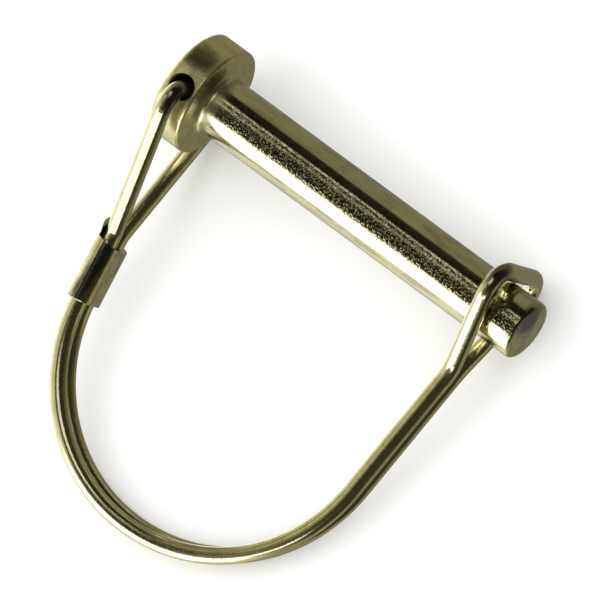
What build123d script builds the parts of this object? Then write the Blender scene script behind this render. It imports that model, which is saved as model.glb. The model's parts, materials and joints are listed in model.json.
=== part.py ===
# Lynch pin with a hinged wire bail, as it lies on a flat surface.
#
# Three pieces: a cold-headed pin with a hole drilled across its head, one length
# of spring wire bent into the bail, and a crimped ferrule that ties the bail's two
# strands together. The loop at the free end of the bail is round the pin's tip.
#
# Each piece is first made in the pin's own frame: X runs along the pin from the
# head's seat to the tip, the arch of the bail hangs towards -Y, and Z is the
# direction of the cross hole. The pieces are then laid down together on the three
# places where the wire touches the surface.

from build123d import *
from math import acos, atan2, cos, hypot, radians, tan
import os

# Pin
shank_diameter = 8.0
grip_length = 45.0
tip_overhang = 3.9
tip_round = 0.55
head_diameter = 15.0
head_thickness = 4.9
head_back_round = 0.8
head_front_round = 0.4
neck_fillet = 0.8

# Cross hole through the head
cross_hole_diameter = 3.3
cross_hole_from_seat = 2.3
cross_hole_flare = 0.2
cross_hole_flare_depth = 0.35

# Wire, and how its ends hook into the cross hole
wire_diameter = 2.25
hook_side_play = 0.15
hook_end_from_axis = 3.4
rim_clearance = 0.1
hook_bend_radius = 1.35
hook_run = 2.6
shoulder_bend_radius = 3.0

# Legs, which lean in until the two strands lie side by side
strand_gap = 0.1
legs_meet_depth = 20.8
legs_meet_from_hook = 0.95
legs_meet_radius = 3.0
head_side_lean = 6.7

# Ferrule, which starts below the bend where the legs meet
ferrule_below_bend = 1.0
ferrule_length = 7.6
ferrule_wall = 0.6
ferrule_clearance = 0.03
ferrule_lip = 3.3
ferrule_lip_half_width = 2.8
ferrule_slant = 1.0
ferrule_edge_round = 0.15

# Arch, whose first bend starts just inside the foot of the ferrule
arch_depth = 49.0
arch_start_in_ferrule = 0.26
arch_flat = 0.1
strand_stagger = 0.4

# Loop round the tip of the pin
tip_side_lean = 5.8
strands_part_radius = 5.0
loop_clearance = 0.1
loop_reach = 8.5
loop_bend_radius = 2.6
loop_set_back = 0.15

# Sizes that follow from the ones above
shank_radius = shank_diameter / 2
head_radius = head_diameter / 2
wire_radius = wire_diameter / 2
cross_hole_radius = cross_hole_diameter / 2
shank_length = grip_length + wire_diameter + tip_overhang
hook_x = -cross_hole_from_seat
hook_depth = cross_hole_radius - hook_side_play - wire_radius
hook_reach = head_radius + rim_clearance + wire_radius
strand_offset = wire_radius + strand_gap / 2
legs_meet_x = hook_x + legs_meet_from_hook
loop_x = grip_length + wire_radius
wire_to_pin_axis = shank_radius + loop_clearance + wire_radius
parted_angle = acos(wire_to_pin_axis / hypot(wire_to_pin_axis, loop_reach)) - atan2(
    wire_to_pin_axis, loop_reach
)
parting_depth = (loop_reach - strand_offset) / tan(parted_angle) - wire_to_pin_axis
cut_margin = 1.0

# How finely the wire is searched for its lowest points
wire_steps = 2000
settling_rounds = 8


def at(along, depth, reach):
    """A point given along the pin, towards the arch, and across the two strands."""
    return Vector(along, -depth, reach)


def head_side_x(depth):
    """Where the line of the bail's side below the head is, at a depth."""
    return legs_meet_x + (depth - legs_meet_depth) * tan(radians(head_side_lean))


def tip_side_x(depth):
    """Where the line of the bail's side below the tip is, at a depth."""
    return loop_x - loop_set_back - (depth - parting_depth) * tan(radians(tip_side_lean))


def legs_straight_depth():
    """The depth at which the bend at the foot of the legs has ended."""
    shoulder = at(hook_x, hook_depth + hook_run, hook_reach)
    meeting = at(legs_meet_x, legs_meet_depth, strand_offset)
    below = at(head_side_x(arch_depth), arch_depth, strand_offset)
    turn = radians((meeting - shoulder).get_angle(below - meeting))
    bend_length = legs_meet_radius * tan(turn / 2)
    return legs_meet_depth + bend_length * cos(radians(head_side_lean))


ferrule_top_depth = legs_straight_depth() + ferrule_below_bend
ferrule_foot_depth = ferrule_top_depth + ferrule_length
arch_start_depth = ferrule_foot_depth - arch_start_in_ferrule
arch_first_run = (arch_depth - arch_start_depth) / cos(radians(head_side_lean))
arch_low_point = head_side_x(arch_depth) + arch_first_run + arch_flat / 2


def strand(side):
    """Corner points and bend radii of one strand, from its end in the head to the loop."""
    bottom = arch_depth + side * strand_stagger / 2
    head_side_corner = head_side_x(bottom)
    tip_side_corner = tip_side_x(bottom)
    head_side_run = arch_low_point - arch_flat / 2 - head_side_corner
    tip_side_run = tip_side_corner - arch_low_point - arch_flat / 2
    corners = [
        at(hook_x, hook_depth, side * hook_end_from_axis),
        at(hook_x, hook_depth, side * hook_reach),
        at(hook_x, hook_depth + hook_run, side * hook_reach),
        at(legs_meet_x, legs_meet_depth, side * strand_offset),
        at(head_side_corner, bottom, side * strand_offset),
        at(tip_side_corner, bottom, side * strand_offset),
        at(tip_side_x(parting_depth), parting_depth, side * strand_offset),
        at(loop_x, -wire_to_pin_axis, side * loop_reach),
    ]
    radii = [
        hook_bend_radius,
        shoulder_bend_radius,
        legs_meet_radius,
        head_side_run / tan(radians(90 - head_side_lean) / 2),
        tip_side_run / tan(radians(90 - tip_side_lean) / 2),
        strands_part_radius,
        loop_bend_radius,
    ]
    return corners, radii


def wire_line():
    """Centre line of the wire: down one strand, round the loop and back along the other."""
    front_corners, front_radii = strand(1)
    back_corners, back_radii = strand(-1)
    return FilletPolyline(
        *front_corners, *reversed(back_corners), radius=front_radii + back_radii[::-1]
    )


def make_pin():
    """Head and shank turned as one outline, with the hole drilled across the head."""
    outline = Polyline(
        (-head_thickness, 0),
        (-head_thickness, head_radius),
        (0, head_radius),
        (0, shank_radius),
        (shank_length, shank_radius),
        (shank_length, 0),
        close=True,
    )
    section = make_face(outline)
    rounds = [
        ((-head_thickness, head_radius), head_back_round),
        ((0, head_radius), head_front_round),
        ((0, shank_radius), neck_fillet),
        ((shank_length, shank_radius), tip_round),
    ]
    for corner, radius in rounds:
        section = fillet(section.vertices().sort_by_distance((*corner, 0))[0], radius)
    blank = revolve(section, Axis.X)
    drill = Pos(hook_x, 0, 0) * Cylinder(cross_hole_radius, head_diameter + cut_margin)
    flare = Cone(
        cross_hole_radius,
        cross_hole_radius + 2 * cross_hole_flare,
        2 * cross_hole_flare_depth,
    )
    flare_top = Pos(hook_x, 0, head_radius) * flare
    flare_bottom = Pos(hook_x, 0, -head_radius) * Rot(180, 0, 0) * flare
    return blank - drill - flare_top - flare_bottom


def make_wire_bail():
    """Round wire swept along its centre line."""
    line = wire_line()
    section = Plane(origin=line @ 0, z_dir=line % 0) * Circle(wire_radius)
    return sweep(section, path=line)


def make_ferrule():
    """Oval tube round both strands, whose mouth slants up to a rounded lip away from the tip."""
    top = at(head_side_x(ferrule_top_depth), ferrule_top_depth, 0)
    foot = at(head_side_x(ferrule_foot_depth), ferrule_foot_depth, 0)
    mouth = Plane(origin=top, x_dir=(0, 0, 1), z_dir=foot - top)
    low_length = (foot - top).length
    bore_width = 2 * (wire_radius + ferrule_clearance)
    bore_length = bore_width + 2 * strand_offset
    outer_width = bore_width + 2 * ferrule_wall
    outer_length = bore_length + 2 * ferrule_wall
    outside = SlotOverall(outer_length, outer_width)
    tube = Pos(0, 0, -ferrule_slant) * extrude(outside, low_length + ferrule_slant)
    tube = fillet(tube.faces().sort_by(Axis.Z)[-1].edges(), ferrule_edge_round)
    side_outline = Polyline(
        (0, -outer_width / 2, 0),
        (0, outer_width / 2, -ferrule_slant),
        (0, outer_width / 2, low_length),
        (0, -outer_width / 2, low_length),
        close=True,
    )
    tube &= extrude(make_face(side_outline), outer_length, both=True)
    bore = extrude(SlotOverall(bore_length, bore_width), ferrule_foot_depth + ferrule_slant)
    tube -= Pos(0, 0, -ferrule_slant) * bore
    lip_outline = Plane.XZ.offset(-bore_width / 2) * Ellipse(ferrule_lip_half_width, ferrule_lip)
    lip = extrude(lip_outline, -ferrule_wall) & extrude(outside, -ferrule_lip)
    return mouth * (tube + lip)


def resting_plane(line):
    """The surface that the wire lies on, under its lowest points at hook, loop and arch."""
    points = [line.position_at(step / wire_steps) for step in range(wire_steps + 1)]
    hook = [p for p in points if p.X < arch_low_point and -p.Y < head_radius]
    loop = [p for p in points if p.X > arch_low_point and -p.Y < head_radius]
    arch = [p for p in points if -p.Y > arch_depth / 2]
    up = Vector(0, 0, 1)
    for _ in range(settling_rounds):
        at_hook, at_loop, at_arch = (min(group, key=up.dot) for group in (hook, loop, arch))
        up = (at_arch - at_hook).cross(at_loop - at_hook).normalized()
    pin_direction = Vector(1, 0, 0) - up * up.X
    return Plane(origin=at_hook - up * wire_radius, x_dir=pin_direction, z_dir=up)


surface = resting_plane(wire_line())
pieces = {"pin": make_pin(), "wire_bail": make_wire_bail(), "ferrule": make_ferrule()}
laid_pieces = {name: surface.to_local_coords(piece) for name, piece in pieces.items()}

# The origin is on the surface, under the middle of the bounding box
box = Compound(list(laid_pieces.values())).bounding_box()
to_origin = Pos(-box.center().X, -box.center().Y, -box.min.Z)

os.makedirs("parts", exist_ok=True)
for name, piece in laid_pieces.items():
    export_step(to_origin * piece, f"parts/{name}.step")
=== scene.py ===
"""Looks for a plated lynch pin, lying on a pale surface with its wire bail closed."""

import json
from math import cos, radians, sin

import bpy
from mathutils import Matrix, Vector

MM = 0.001

# Where the camera stands, given along the pin, away from the arch, and up from the bail's plane
VIEW_FROM = Vector((0.350, 0.125, 0.929))
VIEW_UP = Vector((-0.557, 0.825, 0.099))
FRAME_WIDTH = 74.8 * MM
SEAT_TO_FRAME_CENTRE_RIGHT = 10.36 * MM
SEAT_TO_FRAME_CENTRE_DOWN = 24.49 * MM
LENS = 1200.0
SENSOR = 36.0
FARTHEST_SEEN = 100.0

# Panels round the part that its metal mirrors: how bright, how blue, and the round edges that
# all bound it. An edge is centred at a turn round the pin from straight up, negative towards
# the arch, and a lean towards the tip. Then come its radius and softness. All are degrees.
# A later panel covers the ones before it.
BETWEEN_PANELS = 0.26
SHANK_BAND = [(0, -90, 76, 3), (0, 90, 117, 4)]
SIDE_EDGE = (-72, -10, 105, 3)
LOWER_EDGE = (-141.7, -31.7, 87, 5)
STUDIO_PANELS = [
    (0.90, 1.15, [(-60, -90, 26, 14)]),
    (0.85, 1.30, [(-40, -52, 26, 18)]),
    (0.40, 1.00, [(-118, 36, 30, 12)]),
    (0.09, 0.85, [(32, 44, 66, 10)]),
    (0.035, 0.80, [(32, 38, 46, 14)]),
    (0.05, 0.85, [(-88, 70, 27, 8)]),
    (0.42, 1.00, [(175, 70, 14, 6)]),
    (0.35, 1.00, [(14, -46, 22, 6), SIDE_EDGE]),
    (0.06, 0.65, [(14, -20, 14, 5), SIDE_EDGE]),
    (0.78, 1.00, [(-8, -37, 9, 5)]),
    (0.45, 1.00, [(-11, -7, 5, 3)]),
    (0.02, 0.90, [(-18, -18, 18, 5), *SHANK_BAND]),
    (0.015, 0.90, [(50, -16, 17, 3.5)]),
    (0.75, 1.20, [(13, -20, 3.5, 2)]),
    (0.90, 1.30, [(31, -20, 3.5, 1.5), (-72, -10, 102.3, 1.5)]),
    (1.10, 1.45, [(18, 0, 15, 4), (-72, -10, 102.5, 1.5)]),
    (0.93, 1.08, [(-95, -22, 50, 9), LOWER_EDGE]),
    (1.35, 1.30, [(-150, -45, 48, 10), (0, -90, 62, 5)]),
    (4.00, 1.75, [(-70, -9, 32, 7), LOWER_EDGE]),
    (2.50, 1.75, [(-55, 12, 28, 4), (-138, 0, 90, 4), (35, 0, 95, 3)]),
    (1.05, 1.35, [(-112, -20, 20, 6), *SHANK_BAND]),
    (0.03, 0.95, [(0, 30, 32, 5), (-90, 6.7, 89, 1.5), (90, -6.7, 98.6, 1.5)]),
]
GREEN_WITH_BLUE = 0.1

# Light on the floor
DOME_LIGHT = 1.25
SOFTBOX_SIZE = 1.6
SOFTBOX_POWER = 6.0
SOFTBOX_PLACE = (-0.6, -0.7, 1.4)
FLOOR_SIZE = 40.0

# Colours of the plating, of what soils it, of painted shade, highlight and reflection, and of the floor
OLIVE_GOLD = (0.62, 0.567, 0.224)
BROWN_OLIVE = (0.30, 0.26, 0.114)
PALE_GOLD = (0.70, 0.65, 0.317)
HEAD_GOLD = (0.64, 0.57, 0.17)
RIM_GOLD_AND_GLINT = (0.85, 0.73, 0.25)
ECHO_GOLD = (0.56, 0.55, 0.44)
HOLE_PAINTED_SHADE = (0.03, 0.027, 0.02)
STAIN_AND_SHADE_BROWN = (0.11, 0.088, 0.06)
PAINTED_REFLECTION_GREY = (0.07, 0.07, 0.075)
PIT_BROWN = (0.10, 0.088, 0.045)
FLOOR_WHITE = (0.92, 0.92, 0.915)

# Share of another colour on the head, in dirty pits, and where metal is mirrored in metal
HEAD_GOLD_SHARE = 0.5
PIT_BROWN_SHARE = 0.75
ECHO_SHARE = 0.7

# Grain left by tumbling: the fine noise that gives specks and pits, and how coarse the rest is
SPECKS_FROM_NOISE = (0.53, 0.68)
PITS_FROM_NOISE = (0.62, 0.38)
FINE_SHARE = 0.35
COARSE_TO_FINE = 0.23

# Colour patches and stains, whose noise is moved away from that of the patches
PALE_FROM_NOISE = (0.46, 0.64)
PALE_SHARE = 0.5
STAINS_FROM_NOISE = (0.45, 0.6)
STAINS_MOVED = (0.5, 0.2, 0.9)

# Marks, among them painted shade, highlight and reflection: centre and half size along, across and above the
# pin in mm, strength, and colour
PIN_MARKS_AND_PAINTED_LIGHT = [
    # A golden patch by the hole's back edge: partly golden plating, partly a painted highlight on the head's
    # rounded rim
    ((-3.9, 1.2, 7.3), (1.5, 2.0, 1.5), 0.9, RIM_GOLD_AND_GLINT),
    ((-2.7, 4.4, 6.0), (2.3, 2.2, 2.0), 0.75, STAIN_AND_SHADE_BROWN),
    # Painted shade in the crease where the seat face meets the neck
    ((-0.1, 2.6, 4.8), (0.7, 2.6, 2.2), 0.55, STAIN_AND_SHADE_BROWN),
    # Painted dark reflection, widening the shank's dark band where it runs over the tip's rounded edge
    ((51.0, 1.6, 1.6), (1.3, 2.5, 2.8), 0.95, STAIN_AND_SHADE_BROWN),
]
WIRE_PAINTED_SHADE = [
    # Painted shade on the wire's hook by the head
    ((-1.6, -1.7, 9.0), (1.3, 2.9, 1.7), 0.85, STAIN_AND_SHADE_BROWN),
    # Painted shade on the top of the loop beside the shank
    ((46.4, 4.8, 6.9), (1.7, 2.8, 2.4), 0.75, STAIN_AND_SHADE_BROWN),
]
# Painted dark reflection, a grey-black band along the top of the ferrule
FERRULE_PAINTED_REFLECTION = [((-0.4, -26.0, 2.9), (1.2, 7.0, 2.4), 0.85, PAINTED_REFLECTION_GREY)]

# Where a mark ends and where it is full, in half sizes, and how fine its ragged edge is
MARK_EDGE = (1.15, 0.45)
MARK_NOISE_PER_METRE = 900.0
NOISE_MIDDLE = 0.5

# Finish of the bail's pieces: grains and patches per metre, strength of stains, and roughness
WIRE_FINISH = (6500.0, 420.0, 0.2, 0.07)
FERRULE_FINISH = (5200.0, 500.0, 0.4, 0.1)
BAIL_GRAIN_HEIGHT = 0.003 * MM

# Finish of the pin, whose grain is drawn out a little along it, and its colour patches more so.
# A faint share of the grain stays on its smooth sides, and of the head's lumps on the shank.
PIN_GRAINS = 4800.0
PIN_GRAIN_HEIGHT = 0.008 * MM
PIN_GRAIN_DRAWN = (0.7, 1, 1)
PIN_PATCHES = 700.0
PIN_PATCHES_DRAWN = (0.25, 1, 1)
PIN_STAINS = 0.5
PIN_LUMPS = 620.0
PIN_LUMP_HEIGHT = 0.06 * MM
FAINT_SHARE = 0.1

# Sides of the pin with a finish of their own: turn from straight up, half width and fade
SMOOTH_SIDE = (62, 45, 3)
PITTED_SIDE = (8, 19, 6)
DULL_SIDE = (-80, 42, 4)

# Stretches of the pin: where each one starts, and where it has fully begun
HEAD_STRETCH = (0.3 * MM, -0.1 * MM)
NECK_STRETCH = (3.6 * MM, 1.0 * MM)
GRAINY_STRETCH = (1.2 * MM, 4.5 * MM)

# Dirt in the pits of the pin
DIRTY_PITS = (0.3, 0.75)
HEAD_DIRT = 0.3

# Roughness of the pin, what pits and the head add to it, and the least at its duller places
PIN_ROUGHNESS = 0.08
PITS_ADD = 0.05
HEAD_ADDS = 0.13
NECK_ROUGHNESS = 0.3
DULL_ROUGHNESS = 0.2
HOLE_ROUGHNESS = 0.6

# The cross hole in the pin's head
HOLE_FROM_SEAT = 2.3 * MM
HOLE_RADIUS = 1.65 * MM
HOLE_RIM = 0.05 * MM

# Kinds of group sockets, and the places of the mix node's colour sockets
FLOAT, COLOUR, VECTOR = "NodeSocketFloat", "NodeSocketColor", "NodeSocketVector"
MIX_FIRST, MIX_SECOND, MIX_RESULT = 6, 7, 2


def pin_frame(frame):
    """Seat centre and the three directions of the pin: along it, across the bail, and up."""
    mounts = {mount["name"]: mount for mount in frame["record"]["mounts"]}
    shank = mounts["shank"]
    along = Vector(shank["axis"]).normalized()
    up = -Vector(frame["joints"][0]["axis"]).normalized()
    across = up.cross(along)
    half_grip = shank["dims"]["length_mm"] * MM / 2
    return Vector(shank["pos_m"]) - along * half_grip, along, across, up


def pin_direction(axes, given):
    """A direction given in the pin's own frame, turned into the scene's."""
    along, across, up = axes
    return (along * given.x + across * given.y + up * given.z).normalized()


def add_camera(seat, axes):
    """A long lens that frames the whole part from above, a little towards its tip."""
    backward = pin_direction(axes, VIEW_FROM)
    upward = pin_direction(axes, VIEW_UP)
    right = upward.cross(backward).normalized()
    upward = backward.cross(right)
    aim = seat + right * SEAT_TO_FRAME_CENTRE_RIGHT - upward * SEAT_TO_FRAME_CENTRE_DOWN
    distance = FRAME_WIDTH * LENS / SENSOR
    lens = bpy.data.cameras.new("camera")
    lens.lens = LENS
    lens.sensor_width = SENSOR
    lens.clip_end = FARTHEST_SEEN
    camera = bpy.data.objects.new("camera", lens)
    turn = Matrix((right, upward, backward)).transposed().to_4x4()
    camera.matrix_world = Matrix.Translation(aim + backward * distance) @ turn
    bpy.context.collection.objects.link(camera)
    bpy.context.scene.camera = camera


def opaque(colour):
    """A colour with its fourth number added, or a socket as it is."""
    return (*colour, 1) if isinstance(colour, tuple) else colour


class Nodes:
    """Adds shader nodes to one tree, each with its values and links in a single call."""

    def __init__(self, tree):
        self.tree = tree
        tree.nodes.clear()

    def add(self, kind, sockets=None, **settings):
        node = self.tree.nodes.new(kind)
        for name, value in settings.items():
            setattr(node, name, value)
        for name, value in (sockets or {}).items():
            socket = node.inputs[name]
            if isinstance(value, bpy.types.NodeSocket):
                self.tree.links.new(value, socket)
            else:
                socket.default_value = value
        return node

    def math(self, operation, *values):
        sockets = dict(enumerate(values))
        return self.add("ShaderNodeMath", sockets, operation=operation).outputs[0]

    def vector(self, operation, *values, output="Vector"):
        sockets = dict(enumerate(values))
        return self.add("ShaderNodeVectorMath", sockets, operation=operation).outputs[output]

    def mix(self, share, first, second):
        sockets = {"Factor": share, MIX_FIRST: opaque(first), MIX_SECOND: opaque(second)}
        return self.add("ShaderNodeMix", sockets, data_type="RGBA").outputs[MIX_RESULT]

    def step(self, value, low, high):
        """Zero before low and one past high, with a soft rise between them."""
        sockets = {"Value": value, "From Min": low, "From Max": high}
        node = self.add("ShaderNodeMapRange", sockets, interpolation_type="SMOOTHSTEP")
        return node.outputs["Result"]

    def noise(self, place, per_metre, detail, roughness=0.5):
        """Soft noise that lies round a half, with so many swells per metre."""
        sockets = {"Vector": place, "Scale": per_metre, "Detail": detail, "Roughness": roughness}
        return self.add("ShaderNodeTexNoise", sockets).outputs["Fac"]

    def bump(self, height, distance, **sockets):
        """A normal for a surface that rises by the distance where the height is one."""
        sockets = {"Height": height, "Distance": distance, **sockets}
        return self.add("ShaderNodeBump", sockets).outputs["Normal"]

    def placed(self, group, sockets):
        """Outputs of a node group that is placed in this tree with its own values."""
        return self.add("ShaderNodeGroup", sockets, node_tree=group).outputs


def start_group(name, inputs, outputs):
    """An empty shader node group with named sockets. Each input is (kind, name, value)."""
    group = bpy.data.node_groups.new(name, "ShaderNodeTree")
    nodes = Nodes(group)
    for kind, socket_name, value in inputs:
        socket = group.interface.new_socket(socket_name, in_out="INPUT", socket_type=kind)
        if value is not None:
            socket.default_value = value
    for kind, socket_name in outputs:
        group.interface.new_socket(socket_name, in_out="OUTPUT", socket_type=kind)
    return group, nodes, nodes.add("NodeGroupInput").outputs


def build_grain_group():
    """Fine tumbled grain: a height for bump, and a mask that is high in the pits."""
    group, nodes, given = start_group(
        "tumbled grain",
        [
            (VECTOR, "Place", None),
            (FLOAT, "Grains per Metre", 4000.0),
            (FLOAT, "Coarse Share", 0.3),
        ],
        [(FLOAT, "Height"), (FLOAT, "Pits")],
    )
    fine = nodes.noise(given["Place"], given["Grains per Metre"], detail=0.5)
    coarse_grains = nodes.math("MULTIPLY", given["Grains per Metre"], COARSE_TO_FINE)
    coarse = nodes.noise(given["Place"], coarse_grains, detail=2.0)
    share = nodes.math("MULTIPLY", coarse, given["Coarse Share"])
    specks = nodes.step(fine, *SPECKS_FROM_NOISE)
    height = nodes.math("ADD", nodes.math("MULTIPLY_ADD", fine, FINE_SHARE, share), specks)
    pits = nodes.step(fine, *PITS_FROM_NOISE)
    nodes.add("NodeGroupOutput", {"Height": height, "Pits": pits})
    return group


def build_tint_group():
    """Uneven colour of the plating: drifts between gold and olive, with brown stains."""
    group, nodes, given = start_group(
        "plating tint",
        [
            (VECTOR, "Place", None),
            (FLOAT, "Patches per Metre", 350.0),
            (COLOUR, "Plating", opaque(OLIVE_GOLD)),
            (COLOUR, "Pale", opaque(PALE_GOLD)),
            (COLOUR, "Stain", opaque(BROWN_OLIVE)),
            (FLOAT, "Stain Amount", 0.3),
        ],
        [(COLOUR, "Colour")],
    )
    drift = nodes.noise(given["Place"], given["Patches per Metre"], detail=3.0)
    moved = nodes.vector("ADD", given["Place"], STAINS_MOVED)
    blotch = nodes.noise(moved, given["Patches per Metre"], detail=5.0, roughness=0.62)
    paler = nodes.math("MULTIPLY", nodes.step(drift, *PALE_FROM_NOISE), PALE_SHARE)
    plated = nodes.mix(paler, given["Plating"], given["Pale"])
    stains = nodes.step(blotch, *STAINS_FROM_NOISE)
    stains = nodes.math("MULTIPLY", stains, given["Stain Amount"])
    nodes.add("NodeGroupOutput", {"Colour": nodes.mix(stains, plated, given["Stain"])})
    return group


def build_mark_group():
    """A ragged oval mark at one place: one at its centre, and fading to zero at its rim."""
    group, nodes, given = start_group(
        "ragged mark",
        [
            (VECTOR, "Place", None),
            (VECTOR, "Centre", None),
            (VECTOR, "Half Size", (MM, MM, MM)),
            (FLOAT, "Raggedness", 0.8),
        ],
        [(FLOAT, "Mask")],
    )
    offset = nodes.vector("SUBTRACT", given["Place"], given["Centre"])
    scaled = nodes.vector("DIVIDE", offset, given["Half Size"])
    reach = nodes.vector("LENGTH", scaled, output="Value")
    unevenness = nodes.noise(given["Place"], MARK_NOISE_PER_METRE, detail=4.0)
    ragged = nodes.math("SUBTRACT", unevenness, NOISE_MIDDLE)
    spread = nodes.math("MULTIPLY_ADD", ragged, given["Raggedness"], reach)
    nodes.add("NodeGroupOutput", {"Mask": nodes.step(spread, *MARK_EDGE)})
    return group


def new_material(name):
    material = bpy.data.materials.new(name)
    material.use_nodes = True
    return material, Nodes(material.node_tree)


def add_marks(nodes, colour, place, mark_group, marks):
    """The colour with the marks of one piece laid over it, painted shade, highlight and reflection among
    them.
    """
    for centre, half_size, strength, mark_colour in marks:
        sockets = {
            "Place": place,
            "Centre": tuple(MM * value for value in centre),
            "Half Size": tuple(MM * value for value in half_size),
        }
        mask = nodes.placed(mark_group, sockets)["Mask"]
        colour = nodes.mix(nodes.math("MULTIPLY", mask, strength), colour, mark_colour)
    return colour


def finish_metal(nodes, colour, roughness, normal):
    """Ends a material as bare metal, which is greyer where it is mirrored in other metal."""
    glossy = nodes.add("ShaderNodeLightPath").outputs["Is Glossy Ray"]
    colour = nodes.mix(nodes.math("MULTIPLY", glossy, ECHO_SHARE), colour, ECHO_GOLD)
    metal = nodes.add(
        "ShaderNodeBsdfPrincipled",
        {"Base Color": colour, "Metallic": 1.0, "Roughness": roughness, "Normal": normal},
    )
    nodes.add("ShaderNodeOutputMaterial", {"Surface": metal.outputs[0]})


def pin_place(nodes, seat, axes):
    """Place on the pin, measured from its seat: along it, across it, and up."""
    place = nodes.add("ShaderNodeTexCoord").outputs["Object"]
    from_seat = nodes.vector("SUBTRACT", place, tuple(seat))
    parts = {
        name: nodes.vector("DOT_PRODUCT", from_seat, tuple(axis), output="Value")
        for name, axis in zip("XYZ", axes)
    }
    return nodes.add("ShaderNodeCombineXYZ", parts).outputs["Vector"], parts["X"]


def side_mask(nodes, outward, side):
    """One on a side of the pin, and fading to zero past its half width."""
    turn, half_width, fade = side
    middle = (0, sin(radians(turn)), cos(radians(turn)))
    facing = nodes.vector("DOT_PRODUCT", outward, middle, output="Value")
    return nodes.step(facing, cos(radians(half_width + fade)), cos(radians(half_width - fade)))


def cross_hole_mask(nodes, place):
    """One on the wall of the cross hole in the head."""
    from_hole = nodes.vector("ADD", place, (HOLE_FROM_SEAT, 0, 0))
    from_axis = nodes.vector("MULTIPLY", from_hole, (1, 1, 0))
    reach = nodes.vector("LENGTH", from_axis, output="Value")
    return nodes.step(reach, HOLE_RADIUS + HOLE_RIM, HOLE_RADIUS)


def pin_plating(groups, seat, axes):
    """Plating of the pin: grainy with pits on top, smooth away from the arch, dull towards it."""
    material, nodes = new_material("plated_pin")
    place, along = pin_place(nodes, seat, axes)
    outward = nodes.vector("NORMALIZE", nodes.vector("MULTIPLY", place, (0, 1, 1)))
    on_head = nodes.step(along, *HEAD_STRETCH)
    at_neck = nodes.step(along, *NECK_STRETCH)
    past_neck = nodes.step(along, *GRAINY_STRETCH)
    dull = side_mask(nodes, outward, DULL_SIDE)
    in_hole = cross_hole_mask(nodes, place)
    drawn = nodes.vector("MULTIPLY", place, PIN_GRAIN_DRAWN)
    grain = nodes.placed(groups["grain"], {"Place": drawn, "Grains per Metre": PIN_GRAINS})

    streaky = nodes.vector("MULTIPLY", place, PIN_PATCHES_DRAWN)
    patches = {"Place": streaky, "Patches per Metre": PIN_PATCHES, "Stain Amount": PIN_STAINS}
    colour = nodes.placed(groups["tint"], patches)["Colour"]
    head_gold = nodes.math("MULTIPLY", on_head, HEAD_GOLD_SHARE)
    colour = nodes.mix(head_gold, colour, HEAD_GOLD)
    dirty_part = nodes.math("MULTIPLY_ADD", on_head, HEAD_DIRT, past_neck)
    dirty_part = nodes.math("MULTIPLY", side_mask(nodes, outward, PITTED_SIDE), dirty_part)
    dirt = nodes.math("MULTIPLY", nodes.step(grain["Pits"], *DIRTY_PITS), dirty_part)
    colour = nodes.mix(nodes.math("MULTIPLY", dirt, PIT_BROWN_SHARE), colour, PIT_BROWN)
    # Marks laid over the colour: a brown patch on the head's side, painted shade by the neck, a painted dark
    # reflection at the tip, and a golden patch that is partly a painted highlight
    colour = add_marks(nodes, colour, place, groups["mark"], PIN_MARKS_AND_PAINTED_LIGHT)
    # The wall of the cross hole is painted near black as shade.
    colour = nodes.mix(in_hole, colour, HOLE_PAINTED_SHADE)

    even = nodes.math("MAXIMUM", side_mask(nodes, outward, SMOOTH_SIDE), dull)
    grainy_shank = nodes.math("MULTIPLY", nodes.math("SUBTRACT", 1.0, even), past_neck)
    grainy_part = nodes.math("MAXIMUM", on_head, grainy_shank)
    strength = nodes.math("MULTIPLY_ADD", grainy_part, 1 - FAINT_SHARE, FAINT_SHARE)
    grainy = nodes.bump(grain["Height"], PIN_GRAIN_HEIGHT, Strength=strength)
    lumpy_part = nodes.math("MULTIPLY_ADD", on_head, 1 - FAINT_SHARE, FAINT_SHARE)
    lumps = nodes.math("MULTIPLY", nodes.noise(place, PIN_LUMPS, detail=2.0), lumpy_part)
    normal = nodes.bump(lumps, PIN_LUMP_HEIGHT, Normal=grainy)

    roughness = nodes.math("MULTIPLY_ADD", grain["Pits"], PITS_ADD, PIN_ROUGHNESS)
    roughness = nodes.math("MULTIPLY_ADD", on_head, HEAD_ADDS, roughness)
    rough_places = [(at_neck, NECK_ROUGHNESS), (dull, DULL_ROUGHNESS), (in_hole, HOLE_ROUGHNESS)]
    for mask, least in rough_places:
        roughness = nodes.math("MAXIMUM", roughness, nodes.math("MULTIPLY", mask, least))
    finish_metal(nodes, colour, roughness, normal)
    return material


def bail_plating(name, finish, marks, groups, seat, axes):
    """Plating of the wire or the ferrule, which is the same all over apart from its marks of painted shade
    and dark reflection.
    """
    grains, patches, stains, smoothest = finish
    material, nodes = new_material(name)
    place, _ = pin_place(nodes, seat, axes)
    grain = nodes.placed(groups["grain"], {"Place": place, "Grains per Metre": grains})
    tint = {"Place": place, "Patches per Metre": patches, "Stain Amount": stains}
    colour = nodes.placed(groups["tint"], tint)["Colour"]
    colour = add_marks(nodes, colour, place, groups["mark"], marks)
    normal = nodes.bump(grain["Height"], BAIL_GRAIN_HEIGHT)
    roughness = nodes.math("MULTIPLY_ADD", grain["Pits"], PITS_ADD, smoothest)
    finish_metal(nodes, colour, roughness, normal)
    return material


def add_floor():
    """A plain pale floor, which the metal doesn't mirror."""
    bpy.ops.mesh.primitive_plane_add(size=FLOOR_SIZE)
    floor = bpy.context.object
    floor.name = "floor"
    floor.visible_glossy = False
    material, nodes = new_material("floor")
    paper = nodes.add("ShaderNodeBsdfDiffuse", {"Color": opaque(FLOOR_WHITE)})
    nodes.add("ShaderNodeOutputMaterial", {"Surface": paper.outputs[0]})
    floor.data.materials.append(material)


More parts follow.
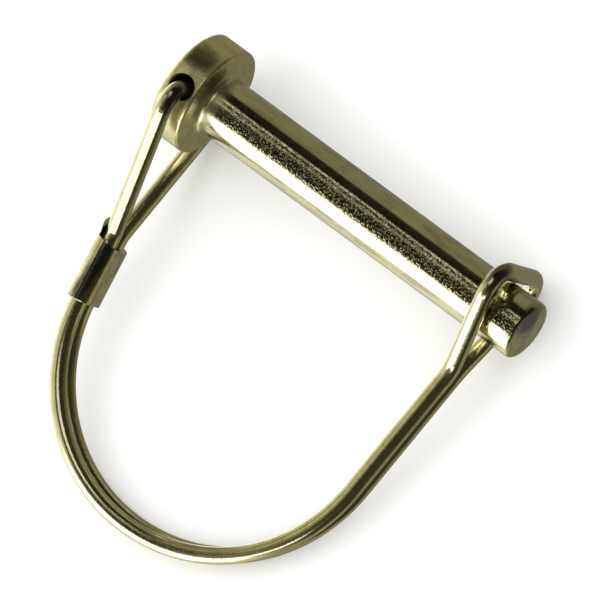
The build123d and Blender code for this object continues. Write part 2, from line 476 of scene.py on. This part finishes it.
def toward(axes, turn, lean):
    """The direction at a turn round the pin from the top, and a lean towards its tip."""
    turn, lean = radians(turn), radians(lean)
    return pin_direction(axes, Vector((sin(lean), cos(lean) * sin(turn), cos(lean) * cos(turn))))


def panel_mask(nodes, direction, axes, edges):
    """One inside all the round edges of a panel, and fading to zero outside them."""
    mask = None
    for turn, lean, radius, softness in edges:
        centre = tuple(toward(axes, turn, lean))
        nearness = nodes.vector("DOT_PRODUCT", direction, centre, output="Value")
        outer, inner = cos(radians(radius + softness)), cos(radians(radius - softness))
        edge = nodes.step(nearness, outer, inner)
        mask = edge if mask is None else nodes.math("MULTIPLY", mask, edge)
    return mask


def add_studio(axes):
    """A soft dome over the floor, and the panels that stand round the pin for its metal."""
    world = bpy.data.worlds.new("studio")
    bpy.context.scene.world = world
    world.use_nodes = True
    nodes = Nodes(world.node_tree)
    direction = nodes.add("ShaderNodeTexCoord").outputs["Generated"]
    light = (BETWEEN_PANELS,) * 3
    for brightness, blue, edges in STUDIO_PANELS:
        green = 1 + GREEN_WITH_BLUE * (blue - 1)
        panel = (brightness, brightness * green, brightness * blue)
        light = nodes.mix(panel_mask(nodes, direction, axes, edges), light, panel)
    panels = nodes.add("ShaderNodeBackground", {"Color": light})
    dome = nodes.add("ShaderNodeBackground", {"Color": (1, 1, 1, 1), "Strength": DOME_LIGHT})
    ray = nodes.add("ShaderNodeLightPath").outputs["Is Glossy Ray"]
    seen = nodes.add("ShaderNodeMixShader", {0: ray, 1: dome.outputs[0], 2: panels.outputs[0]})
    nodes.add("ShaderNodeOutputWorld", {"Surface": seen.outputs[0]})


def add_softbox():
    """A wide round lamp over the part, which the metal doesn't mirror."""
    softbox = bpy.data.lights.new("softbox", "AREA")
    softbox.shape = "DISK"
    softbox.size = SOFTBOX_SIZE
    softbox.energy = SOFTBOX_POWER
    lamp = bpy.data.objects.new("softbox", softbox)
    lamp.location = SOFTBOX_PLACE
    lamp.rotation_euler = (-lamp.location).to_track_quat("-Z", "Y").to_euler()
    lamp.visible_glossy = False
    bpy.context.collection.objects.link(lamp)


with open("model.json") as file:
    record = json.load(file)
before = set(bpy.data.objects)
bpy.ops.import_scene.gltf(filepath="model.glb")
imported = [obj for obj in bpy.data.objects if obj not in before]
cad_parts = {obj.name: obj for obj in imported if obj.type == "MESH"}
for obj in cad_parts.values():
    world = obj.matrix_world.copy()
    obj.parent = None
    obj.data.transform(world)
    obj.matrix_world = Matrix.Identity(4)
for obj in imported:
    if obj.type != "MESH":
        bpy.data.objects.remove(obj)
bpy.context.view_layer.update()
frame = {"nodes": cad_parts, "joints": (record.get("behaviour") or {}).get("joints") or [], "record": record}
seat, *axes = pin_frame(frame)

groups = {
    "grain": build_grain_group(),
    "tint": build_tint_group(),
    "mark": build_mark_group(),
}
finishes = {
    "pin": pin_plating(groups, seat, axes),
    "wire_bail": bail_plating("plated_wire", WIRE_FINISH, WIRE_PAINTED_SHADE, groups, seat, axes),
    "ferrule": bail_plating("plated_ferrule", FERRULE_FINISH, FERRULE_PAINTED_REFLECTION, groups, seat, axes),
}
for node_name, finish in finishes.items():
    piece = frame["nodes"][node_name]
    piece.data.materials.clear()
    piece.data.materials.append(finish)

add_floor()
add_studio(axes)
add_softbox()
add_camera(seat, axes)
bpy.context.scene.view_settings.view_transform = "Standard"
